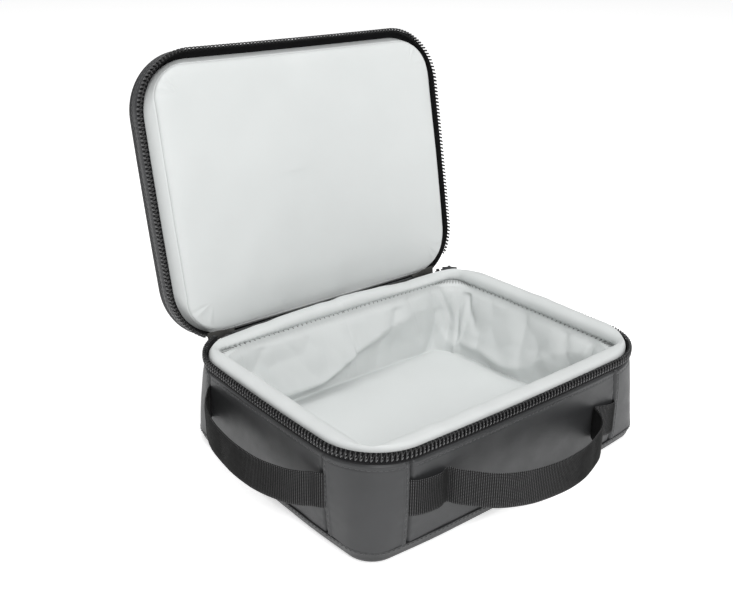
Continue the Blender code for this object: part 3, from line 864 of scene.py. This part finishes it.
def build_lining():
    """Inner walls: one band of slack cloth over the foam, sewn under the rim's roll.

    Rows of the band go round the walls and columns go down them.
    """
    stitch_top, stitch_end, mid_height = 5, 9, 30
    lap = round_lap(1.25)
    profile = smooth([(11.6, 60.2), (12.6, 58.7), (13.9, 56.2), (15.4, 50), (16.6, 38),
                      (17.5, 27), (18.3, 16), (18.9, 10.5), (19.8, 8.9), (22.5, 8.3)], 7)
    s, z = np.meshgrid(lap, profile[:, 1], indexing="ij")
    fold = fold_depth(s, np.maximum(z, WALL_FOOT)) * ease(WALL_TOP + 0.5 - z, 0, 6)
    gather = 0.28 * np.sin(s * tau / GATHER_PITCH + 0.6) * hump(z, 57, 2)
    inset = profile[None, :, 0] + np.maximum(fold, -0.6) + gather
    tight = ROLL_TIGHT * ease(z, 57.2, 60)
    x, y, nx, ny = outline(s, inset, z, low_radius=CORNER_RADIUS, tight=tight)
    points = join(x, y, z)
    outward = join(nx, ny, 0)
    uv = np.meshgrid(lap, lengths(profile), indexing="ij")
    walls = cloth_sheet("lining_walls", points, outward, LINING_CLOTH, LINING, uv, lap=True)
    settle(walls, "base", "lining", "lining_front", "lining_left", "lining_right", "lining_back")
    every = slice(None, None, 3)
    marks = threads("rim_gather_stitches", points[every, stitch_top], points[every, stitch_end],
                    -outward[every, stitch_top], GATHER_RADIUS, GATHER_THREAD)
    settle(marks, "base", "lining")


def layered(name, profile, lap, material, shape, moved=None, **outline_shape):
    """Closed pad from stacked outlines whose first and last rows shrink to the middle."""
    s, inset = np.meshgrid(lap, profile[:, 0], indexing="ij")
    z = 0 * s + profile[:, 1]
    if moved:
        inset = moved(s, inset)
    x, y, _, _ = outline(s, inset, z, **outline_shape)
    points = shape(join(x, y, z), s, inset)
    faces = nested_faces(*points.shape[:2])
    uv = join(x, y).reshape(-1, 2)
    return make_mesh(name, points.reshape(-1, 3), faces, material, uv)


def build_floor_pad():
    """Loose padded floor, softly crowned, with rounded corners."""
    top = [(inset, 9.2) for inset in np.arange(INNERMOST, 27, -4)]
    edge = [(24, 9.15), (22, 8.9), (20.9, 8.3), (20.5, 7.6), (20.9, 6.7)]
    under = [(30, 6.4), (INNERMOST, 6.4)]

    def shape(points, station, inset):
        x, y, z = np.moveaxis(points, -1, 0)
        upper = ease(z, 8, 8.9)
        points[..., 2] = z + upper * (0.3 * waves(41, x, y, 70) + 0.1 * waves(42, x, y, 22))
        return points

    pad = layered("floor_pad_cloth", np.array(top + edge + under), round_lap(2.5), LINING, shape,
                  low_radius=CORNER_RADIUS)
    settle(pad, "base", "lining", "floor_pad")


# -------- lid

PIPING_RADIUS = 1.9
SKIN_TOP = 84.6
SKIN_UNDER = 82.5

# The lid's pad, from the tape inwards: the strip's start, the panel's seam, and where it is level.
STRIP_START, PAD_SEAM, PAD_LEVEL = 3.0, 10.2, 24.0
PAD_BACK, PAD_FACE = 80.0, 64.5
PAD_HALF_X, PAD_HALF_Y = 112.0, 84.0
PAD_HELD = 74.0
CREASE_PITCH = 14.0


def build_lid_shell():
    """Outer skin, piping and gusset of the lid, with their topstitching."""
    top = [(inset, SKIN_TOP) for inset in np.arange(INNERMOST, 5, -5)]
    edge = [(4.2, 84.2), (3.4, 83.6), (3.2, 82.9)]
    under = [(5, SKIN_UNDER), (INNERMOST, SKIN_UNDER)]

    def crown(points, station, inset):
        x, y, z = np.moveaxis(points, -1, 0)
        middle = (1 - (2 * x / WIDTH) ** 2) * (1 - (2 * y / DEPTH) ** 2)
        rise = 1.2 * middle + 0.25 * waves(51, x, y, 60)
        points[..., 2] = z + ease(z, 83.5, 84.5) * rise
        return open_lid(points)

    lap = round_lap(1.8)
    skin = layered("lid_panel_cloth", np.array(top + edge + under), lap, SHELL, crown, bow=LID_BOW)
    settle(skin, "lid", "shell", "lid_panel")

    across, up = circle(12)
    piping = join(1.6 - PIPING_RADIUS * across, 82.2 + PIPING_RADIUS * up)

    def gusset_at(station):
        soft = 0.25 * waves(52, station, 0, 30)
        outer = smooth([(0.6, 73.2), (0.05, 74), (-0.25 - soft, 76.5), (0.1, 79.6), (0.9, 80.6)], 4)
        return np.concatenate((outer, outer[::-1] + np.array((1.2, 0))))

    for name, section, cloth, node in (("lid_binding_piping", piping, SHELL_PAINTED_SHADE, "lid_binding"),
                                       ("lid_gusset_cloth", gusset_at, SHELL, "lid_gusset")):
        points = open_lid(ring_points(lap, section, bow=LID_BOW))
        settle(swept(name, points, cloth, closed=True), "lid", "shell", node)
    line = np.append(lap, PERIMETER)
    rows = [sewn_line(line, -0.12, height, True, LID_BOW) for height in (75.4, 79)]
    settle(stitch_rows("lid_topstitching", rows, DARK_THREAD), "lid", "shell")


def build_lid_lining():
    """The lid's padded inside: a sloping strip next to the tape and a raised, sewn-on panel."""
    strip = smooth([(STRIP_START, 74.2), (3.5, 73), (5.2, 71.3), (8, 69.2), (PAD_SEAM, 67.7)], 5)[:-1]
    panel = smooth([(PAD_SEAM, 67.7), (10.6, 67.6), (10.9, 67), (12, 66.1), (14.5, 65.2),
                    (18, 64.7), (PAD_LEVEL, PAD_FACE)], 6)
    inner = [(inset, PAD_FACE) for inset in np.arange(28, 87, 4)]
    profile = np.concatenate(([(INNERMOST, PAD_BACK), (STRIP_START, PAD_BACK)], strip, panel, inner))

    def seam_place(station, inset):
        """Narrow the strip where the panel's seam lies nearer to the tape."""
        left, front = along_side(station, MID_LEFT), along_side(station, MID_FRONT)
        first = STRIP_START + 2.2 * front
        seam = 6.2 + 4.0 * left + 1.8 * front * (1 - left)
        strip = first + (inset - STRIP_START) / (PAD_SEAM - STRIP_START) * (seam - first)
        face = seam + (inset - PAD_SEAM) / (PAD_LEVEL - PAD_SEAM) * (PAD_LEVEL - seam)
        return np.where(inset < PAD_SEAM, strip, np.where(inset < PAD_LEVEL, face, inset))

    def puff(points, station, inset):
        x, y, z = np.moveaxis(points, -1, 0)
        proud = ease(-z, -70, -65.5)
        middle = np.clip((1 - (x / PAD_HALF_X) ** 2) * (1 - (y / PAD_HALF_Y) ** 2), 0, 1)
        rise = 0.9 * middle + 0.9 * waves(53, x, y, 95) + 0.3 * waves(54, x, 0.6 * y, 30)
        corner = sum(near(station, in_corner(number, 45), 34) for number in range(4))
        crease = np.sin(station * tau / CREASE_PITCH + 3 * waves(55, station, inset, 30))
        rise = rise + 0.3 * corner * crease * hump(inset, 15, 6)
        hinge_side = near(station, MID_BACK, 120) * (1 - ease(inset, 8, 36))
        points[..., 2] = z - proud * (rise - 2.8 * hinge_side)
        return open_lid(points)

    pad = layered("lid_lining_pad", profile, round_lap(1.3), LINING, puff, seam_place,
                  tight=PAD_TIGHT, bow=LID_BOW)
    settle(pad, "lid", "lining", "lid_lining", "lid_foam")
    anchor = open_lid((0, 0, PAD_HELD))
    towards = open_lid((0, 0, PAD_HELD - 1)) - anchor
    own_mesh(pad)


HINGE_REACH = 86.0
FLAP_WIDTH = 4.6


def build_hinge():
    """Fabric hinge from the back panel's top edge to the lid's gusset, and the tape's ends."""
    route = smooth([(90.4, 55.5), (90.7, 59.6), (91.5, 62), (93.2, 62.8), (95.4, 61.2),
                    (97.6, 58.8), (99.4, 57.2), (101.5, 56.9)], 5)
    across = np.linspace(-HINGE_REACH, HINGE_REACH, 90)
    x, y = np.meshgrid(across, route[:, 0], indexing="ij")
    z = route[:, 1] + 0.25 * waves(61, x, y * 3, 30)
    points = join(x, y, z)
    slope = np.gradient(points, axis=1)
    inward = unit(join(0, slope[..., 2], -slope[..., 1]))
    strip = cloth_sheet("hinge_strip_cloth", points, inward, HINGE_CLOTH, SHELL_PAINTED_SHADE, (x, y))
    settle_between(strip, ("base", "lid"), (0, 0.0912, 0.0600), (0, 0.0950, 0.0600), "shell",
                   "hinge_strip_lower", "hinge_strip_upper")

    ends = (
        ("right", (74.5, 90.6, 64.3), (97, 92.4, 63.4)),
        ("left", (-80.5, 90.6, 64.4), (-99, 92.2, 62.6)),
    )
    for side, tip, root in ends:
        run = np.linspace(0, 1, 26)[:, None]
        drop = np.linspace(-1, 1, 9)[None, :]
        full = FLAP_WIDTH * (0.25 + 0.75 * ease(run, 0, 0.7))
        tip, root = np.array(tip), np.array(root)
        line = tip + (root - tip) * run
        x = line[:, :1]
        y = line[:, 1:2] + 0.5 * np.sin(run * 7.0 + drop) + 0.3 * drop ** 2
        z = line[:, 2:] + full * drop / 2 * 1.4
        points = join(x, y, z)
        uv = (points[..., 0], points[..., 2])
        flap = cloth_sheet("tape_end_" + side, points, np.array((0, 1, 0)), FLAP_CLOTH, TAPE_END, uv)
        settle(flap, "base", "zipper_tape")


# -------- handles

RIB_STEP = 0.29
RIB_RISE = 0.32
WEB_HALF_THICK = 0.66


def web_mesh(name, route):
    """Ribbed webbing with rounded edges along a route of (x, y, z) centres."""
    path = smooth(route, 24)
    run = lengths(path)
    even = np.linspace(0, run[-1], round(run[-1] / RIB_STEP))
    path = sampled(path, run, even)
    tangent = np.gradient(path, axis=0)
    side = unit(join(tangent[:, 1], -tangent[:, 0], 0))
    across = np.linspace(-1, 1, 23)
    groove = 0.10 * hump(np.abs(across), 0.80, 0.05)
    half_thick = WEB_HALF_THICK * (1 - np.abs(across) ** 14) + 0.05 - groove
    face = join(half_thick, across * WEB_WIDTH / 2)
    around = np.concatenate((face, face[::-1] * np.array((-1, 1))))
    rib = 1 + RIB_RISE * np.sin(even * tau / RIB_PITCH)
    flat = np.abs(around[None, :, 1]) < WEB_WIDTH / 2 - 0.5
    out = around[None, :, 0] * np.where(flat, rib[:, None], 1)
    curl = 0.35 * waves(71, even[:, None], around[None, :, 1], 26)
    curl = curl * np.abs(around[None, :, 1] / WEB_WIDTH * 2)
    points = path[:, None] + side[:, None] * (out + curl)[..., None]
    points[..., 2] += around[None, :, 1]
    return swept(name, points, WEBBING)


def build_handles():
    """Two webbing handles, each one strap from seam to seam."""
    front_route = (
        (-91.4, -90, 37), (-89, -91.8, 37), (-85.5, -94.4, 37), (-79, -96.3, 36.9),
        (-71, -96.6, 36.7), (-66, -94.6, 36.6), (-63.4, -94.9, 36.6), (-61.6, -98.4, 36.5),
        (-57.6, -103.9, 36.4), (-47, -115, 36.2), (-33, -122.3, 36), (-14, -126.3, 35.6),
        (6, -126, 35), (24, -121.7, 34), (39.5, -114.8, 32.7), (49.2, -107.4, 31.6),
        (54.2, -101.6, 30.9), (56.8, -97.3, 30.4), (59.4, -94.5, 30), (63.8, -95.3, 29.5),
        (70.2, -96.2, 28.7), (76.6, -95.4, 27.9), (80.4, -92.4, 27.4),
    )
    left_route = (
        (-117.4, -59, 36), (-119.8, -57.3, 36), (-121.9, -54.6, 36), (-123.6, -52, 36),
        (-127.2, -48.6, 36), (-132.5, -41, 36), (-137.5, -27, 36), (-140, -9, 36.2),
        (-139.3, 12, 36.6), (-135.5, 32, 37.3), (-129, 45.5, 38), (-124.3, 52.2, 38.5),
        (-121.8, 55.4, 38.8), (-118, 58.8, 39),
    )
    front = web_mesh("handle_front_webbing", front_route)
    settle_between(front, ("base", "front_handle"), (0, -0.0958, 0), (0, -0.1073, 0), "webbing",
                   "handle_front_end_left", "handle_front_end_right", "handle_front_loop")
    left = web_mesh("handle_left_webbing", left_route)
    settle_between(left, ("base", "left_handle"), (-0.1225, 0, 0), (-0.1335, 0, 0), "webbing",
                   "handle_left_end_front", "handle_left_end_back", "handle_left_loop")


# -------- carried-over nodes

WELD = 0.00001


def softened(node, name, material, body, slot, width, top=None):
    """A copy of a CAD node with its edges rounded, standing for it.

    What stands above a given top, in millimetres, keeps only a fifth of its height over it.
    """
    kept = 0.2
    shape = bmesh.new()
    shape.from_mesh(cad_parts[node].data)
    bmesh.ops.remove_doubles(shape, verts=shape.verts, dist=WELD)
    bmesh.ops.dissolve_limit(shape, angle_limit=radians(1), verts=shape.verts, edges=shape.edges)
    mesh = bpy.data.meshes.new(name)
    shape.to_mesh(mesh)
    shape.free()
    if top is not None:
        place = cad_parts[node].matrix_world
        for vertex in mesh.vertices:
            here = place @ vertex.co
            here.z = min(here.z, top * MM + max(here.z - top * MM, 0) * kept)
            vertex.co = place.inverted() @ here
    mesh.shade_smooth()
    mesh.materials.clear()
    mesh.materials.append(material)
    obj = placed(name, mesh)
    bevel = obj.modifiers.new("edges", "BEVEL")
    bevel.width = width * MM
    bevel.segments = 3
    bevel.limit_method = "ANGLE"
    bevel.angle_limit = radians(35)
    settle(obj, body, slot, node)


def dress_cad_nodes():
    """Round the slider and the sewn stops, and give the hidden foam its own finish."""
    softened("slider_body", "slider_casting", METAL, "slider", "slider_metal", 0.28, top=66.2)
    softened("slider_pull", "slider_pull_tab", METAL, "pull", "slider_metal", 0.3)
    for stop in ("end_stop_left", "end_stop_right"):
        softened(stop, stop + "_cloth", SHELL_PAINTED_SHADE, "base", "shell", 0.45)
    for name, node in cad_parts.items():
        if name.startswith("foam") or name == "lid_foam":
            node.data.materials.clear()
            node.data.materials.append(FOAM)


# -------- studio

WHITE = (1.0, 1.0, 1.0, 1.0)
FLOOR_SIZE = 25.0
FLOOR_GAP = 0.0002
FLOOR_GLOW = 0.55
WORLD_LIGHT = 0.36
# Name, place, width and power.
LAMPS = (
    ("key", (-0.75, -1.6, 1.5), 0.9, 27),
    ("top", (0.1, 0.1, 2.2), 1.4, 21),
)
LAMP_AIM = Vector((0, 0, 0.06))

LENS = 46.67
SENSOR = 36.0
CAMERA_PLACE = (-0.37023, -0.39840, 0.32492)
CAMERA_FORWARD = (0.58426, 0.71347, -0.38678)
CAMERA_ROLL = radians(0.67)


def build_floor():
    """Pale floor, just under the object."""
    corners = [(x * FLOOR_SIZE, y * FLOOR_SIZE, 0) for x, y in ((-1, -1), (1, -1), (1, 1), (-1, 1))]
    mesh = bpy.data.meshes.new("floor")
    mesh.from_pydata(corners, [], [(0, 1, 2, 3)])
    shader = Shader("floor_paper", 0.9, emission_color=WHITE, emission_strength=FLOOR_GLOW)
    shader.colour(shader.noise(3), (0.93, 0.93, 0.93), (0.95, 0.95, 0.95))
    mesh.materials.append(shader.material)
    floor = placed("floor", mesh)
    floor.location.z = -FLOOR_GAP


def build_lights():
    """An even white sky, a soft key light and a soft top light."""
    world = bpy.data.worlds.new("studio")
    world.use_nodes = True
    background = world.node_tree.nodes["Background"]
    background.inputs["Color"].default_value = WHITE
    background.inputs["Strength"].default_value = WORLD_LIGHT
    bpy.context.scene.world = world
    for name, place, width, power in LAMPS:
        light = bpy.data.lights.new(name, "AREA")
        light.size = width
        light.energy = power
        lamp = placed(name, light)
        lamp.location = place
        lamp.rotation_mode = "QUATERNION"
        lamp.rotation_quaternion = (LAMP_AIM - Vector(place)).to_track_quat("-Z", "Y")


def build_camera():
    """The camera at the photo's place, with the photo's slight roll."""
    data = bpy.data.cameras.new("camera")
    data.lens = LENS
    data.sensor_width = SENSOR
    data.clip_start = 0.01
    camera = placed("camera", data)
    forward = Vector(CAMERA_FORWARD).normalized()
    right = forward.cross(Vector((0, 0, 1))).normalized()
    up = right.cross(forward)
    tilted_right = right * cos(CAMERA_ROLL) + up * sin(CAMERA_ROLL)
    tilted_up = up * cos(CAMERA_ROLL) - right * sin(CAMERA_ROLL)
    turn = Matrix((tilted_right, tilted_up, -forward)).transposed()
    camera.matrix_world = Matrix.Translation(CAMERA_PLACE) @ turn.to_4x4()
    bpy.context.scene.camera = camera
    bpy.context.scene.view_settings.view_transform = "Standard"


build_floor()
build_lights()
build_camera()
build_panels()
build_tray()
build_zipper()
build_rim()
build_lining()
build_floor_pad()
build_lid_shell()
build_lid_lining()
build_hinge()
build_handles()
dress_cad_nodes()
